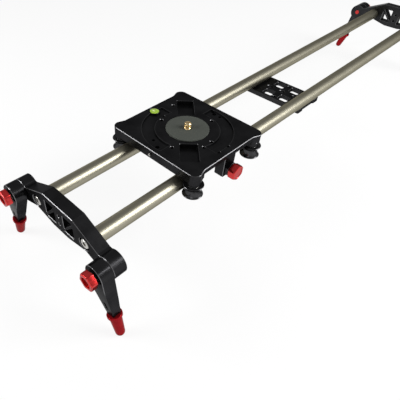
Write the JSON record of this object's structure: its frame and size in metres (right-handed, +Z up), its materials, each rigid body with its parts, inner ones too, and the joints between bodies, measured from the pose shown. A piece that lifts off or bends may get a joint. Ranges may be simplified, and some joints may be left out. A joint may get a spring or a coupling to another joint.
{
  "type": "camera slider",
  "caption": "Track slider for a camera: twin round rails between arched end brackets, folding legs with screw feet, and a braked carriage plate on grooved rollers.",
  "frame": {"origin": "on the floor under the middle of the rails", "axes": "+X along the rails towards the far end, +Y towards the rail away from the brake, +Z up"},
  "size_m": [0.9736, 0.229, 0.1384],
  "materials": {
    "black_metal": "black anodised, satin",
    "rail_metal": "titanium-coloured anodising, satin",
    "red_metal": "red anodised, glossy",
    "steel": "bright stainless",
    "ring_metal": "brushed",
    "brass": "turned",
    "rubber": "matt, dark grey",
    "wheel_black": "glossy black",
    "nylon": "matt",
    "level_green": "clear yellow-green"
  },
  "bodies": {
    "frame": {"rail_left": "rail_metal", "rail_right": "rail_metal", "near_bracket": "black_metal", "far_bracket": "black_metal", "rail_screw_1": "steel", "rail_screw_2": "steel", "rail_screw_3": "steel", "rail_screw_4": "steel", "centre_plate": "black_metal", "plate_screw_1": "steel", "plate_screw_2": "steel", "plate_screw_3": "steel", "plate_screw_4": "steel"},
    "carriage": {"carriage_plate": "black_metal", "mount_pad": "rubber", "camera_screw": "brass", "level_rim": "steel", "level_vial": "level_green", "end_set_screw_1": "steel", "end_set_screw_2": "steel", "brake_block": "black_metal", "axle_screw_1": "steel", "axle_screw_2": "steel", "axle_screw_3": "steel", "axle_screw_4": "steel", "axle_spacer_1": "steel", "axle_spacer_2": "steel", "axle_spacer_3": "steel", "axle_spacer_4": "steel", "ring_screw_1": "steel", "ring_screw_2": "steel"},
    "wheel_1": {"wheel_1": "wheel_black"},
    "wheel_2": {"wheel_2": "wheel_black"},
    "wheel_3": {"wheel_3": "wheel_black"},
    "wheel_4": {"wheel_4": "wheel_black"},
    "tension_ring": {"tension_ring": "ring_metal", "inner_axle_screw_1": "steel", "inner_axle_screw_2": "steel"},
    "inner_wheel_1": {"inner_wheel_1": "wheel_black"},
    "inner_wheel_2": {"inner_wheel_2": "wheel_black"},
    "brake_shoe": {"brake_shoe": "nylon"},
    "brake_knob": {"brake_knob": "red_metal"},
    "leg_1": {"leg_arm_1": "black_metal"},
    "lock_knob_1": {"lock_knob_1": "red_metal"},
    "foot_stud_1": {"foot_stud_1": "steel"},
    "foot_1": {"foot_1": "red_metal"},
    "leg_2": {"leg_arm_2": "black_metal"},
    "lock_knob_2": {"lock_knob_2": "red_metal"},
    "foot_stud_2": {"foot_stud_2": "steel"},
    "foot_2": {"foot_2": "red_metal"},
    "leg_3": {"leg_arm_3": "black_metal"},
    "lock_knob_3": {"lock_knob_3": "red_metal"},
    "foot_stud_3": {"foot_stud_3": "steel"},
    "foot_3": {"foot_3": "red_metal"},
    "leg_4": {"leg_arm_4": "black_metal"},
    "lock_knob_4": {"lock_knob_4": "red_metal"},
    "foot_stud_4": {"foot_stud_4": "steel"},
    "foot_4": {"foot_4": "red_metal"}
  },
  "joints": [
    {"name": "carriage_slide", "type": "slide", "parent": "frame", "child": "carriage", "axis": [1, 0, 0], "range_m": [-0.122, 0.614]},
    {"name": "wheel_1_spin", "type": "hinge", "parent": "carriage", "child": "wheel_1", "pos_m": [-0.3055, -0.0665, 0.1014], "axis": [0, 0, 1], "continuous": true},
    {"name": "wheel_2_spin", "type": "hinge", "parent": "carriage", "child": "wheel_2", "pos_m": [-0.3055, 0.0665, 0.1014], "axis": [0, 0, 1], "continuous": true},
    {"name": "wheel_3_spin", "type": "hinge", "parent": "carriage", "child": "wheel_3", "pos_m": [-0.1865, -0.0665, 0.1014], "axis": [0, 0, 1], "continuous": true},
    {"name": "wheel_4_spin", "type": "hinge", "parent": "carriage", "child": "wheel_4", "pos_m": [-0.1865, 0.0665, 0.1014], "axis": [0, 0, 1], "continuous": true},
    {"name": "ring_turn", "type": "hinge", "parent": "carriage", "child": "tension_ring", "pos_m": [-0.246, 0, 0.1014], "axis": [0, 0, 1], "range_deg": [0, 8]},
    {"name": "inner_wheel_1_spin", "type": "hinge", "parent": "tension_ring", "child": "inner_wheel_1", "pos_m": [-0.2405, -0.0255, 0.1014], "axis": [0, 0, 1], "continuous": true},
    {"name": "inner_wheel_2_spin", "type": "hinge", "parent": "tension_ring", "child": "inner_wheel_2", "pos_m": [-0.2515, 0.0255, 0.1014], "axis": [0, 0, 1], "continuous": true},
    {"name": "brake_press", "type": "slide", "parent": "carriage", "child": "brake_shoe", "axis": [0, 1, 0], "range_m": [0, 0.0005]},
    {"name": "brake_knob_turn", "type": "hinge", "parent": "brake_shoe", "child": "brake_knob", "pos_m": [-0.241, -0.08, 0.1014], "axis": [0, 1, 0], "range_deg": [0, 180]},
    {"name": "leg_1_fold", "type": "hinge", "parent": "frame", "child": "leg_1", "pos_m": [-0.468, -0.083, 0.0952], "axis": [1, 0, 0], "range_deg": [-75, 55]},
    {"name": "lock_knob_1_turn", "type": "hinge", "parent": "frame", "child": "lock_knob_1", "pos_m": [-0.481, -0.083, 0.0952], "axis": [1, 0, 0], "range_deg": [0, 360]},
    {"name": "foot_1_extend", "type": "slide", "parent": "leg_1", "child": "foot_stud_1", "axis": [0, -0.2756, -0.9613], "range_m": [0, 0.006]},
    {"name": "foot_1_turn", "type": "hinge", "parent": "foot_stud_1", "child": "foot_1", "pos_m": [-0.4664, -0.10505, 0.0183], "axis": [0, -0.2756, -0.9613], "range_deg": [0, 2160]},
    {"name": "leg_2_fold", "type": "hinge", "parent": "frame", "child": "leg_2", "pos_m": [-0.468, 0.083, 0.0952], "axis": [1, 0, 0], "range_deg": [-55, 75]},
    {"name": "lock_knob_2_turn", "type": "hinge", "parent": "frame", "child": "lock_knob_2", "pos_m": [-0.481, 0.083, 0.0952], "axis": [1, 0, 0], "range_deg": [0, 360]},
    {"name": "foot_2_extend", "type": "slide", "parent": "leg_2", "child": "foot_stud_2", "axis": [0, 0.2756, -0.9613], "range_m": [0, 0.006]},
    {"name": "foot_2_turn", "type": "hinge", "parent": "foot_stud_2", "child": "foot_2", "pos_m": [-0.4664, 0.10505, 0.0183], "axis": [0, 0.2756, -0.9613], "range_deg": [0, 2160]},
    {"name": "leg_3_fold", "type": "hinge", "parent": "frame", "child": "leg_3", "pos_m": [0.468, 0.083, 0.0952], "axis": [1, 0, 0], "range_deg": [-55, 75]},
    {"name": "lock_knob_3_turn", "type": "hinge", "parent": "frame", "child": "lock_knob_3", "pos_m": [0.481, 0.083, 0.0952], "axis": [1, 0, 0], "range_deg": [-360, 0]},
    {"name": "foot_3_extend", "type": "slide", "parent": "leg_3", "child": "foot_stud_3", "axis": [0, 0.2756, -0.9613], "range_m": [0, 0.006]},
    {"name": "foot_3_turn", "type": "hinge", "parent": "foot_stud_3", "child": "foot_3", "pos_m": [0.4664, 0.10505, 0.0183], "axis": [0, 0.2756, -0.9613], "range_deg": [0, 2160]},
    {"name": "leg_4_fold", "type": "hinge", "parent": "frame", "child": "leg_4", "pos_m": [0.468, -0.083, 0.0952], "axis": [1, 0, 0], "range_deg": [-75, 55]},
    {"name": "lock_knob_4_turn", "type": "hinge", "parent": "frame", "child": "lock_knob_4", "pos_m": [0.481, -0.083, 0.0952], "axis": [1, 0, 0], "range_deg": [-360, 0]},
    {"name": "foot_4_extend", "type": "slide", "parent": "leg_4", "child": "foot_stud_4", "axis": [0, -0.2756, -0.9613], "range_m": [0, 0.006]},
    {"name": "foot_4_turn", "type": "hinge", "parent": "foot_stud_4", "child": "foot_4", "pos_m": [0.4664, -0.10505, 0.0183], "axis": [0, -0.2756, -0.9613], "range_deg": [0, 2160]}
  ],
  "couplings": [
    {"joint": "wheel_1_spin", "follows": "carriage_slide", "rad_per_m": 98.039},
    {"joint": "wheel_2_spin", "follows": "carriage_slide", "rad_per_m": -98.039},
    {"joint": "wheel_3_spin", "follows": "carriage_slide", "rad_per_m": 98.039},
    {"joint": "wheel_4_spin", "follows": "carriage_slide", "rad_per_m": -98.039},
    {"joint": "inner_wheel_1_spin", "follows": "carriage_slide", "rad_per_m": -98.039},
    {"joint": "inner_wheel_2_spin", "follows": "carriage_slide", "rad_per_m": 98.039},
    {"joint": "brake_knob_turn", "follows": "brake_press", "rad_per_m": 6276.9},
    {"joint": "foot_1_turn", "follows": "foot_1_extend", "rad_per_m": 6280},
    {"joint": "foot_2_turn", "follows": "foot_2_extend", "rad_per_m": 6280},
    {"joint": "foot_3_turn", "follows": "foot_3_extend", "rad_per_m": 6280},
    {"joint": "foot_4_turn", "follows": "foot_4_extend", "rad_per_m": 6280}
  ]
}
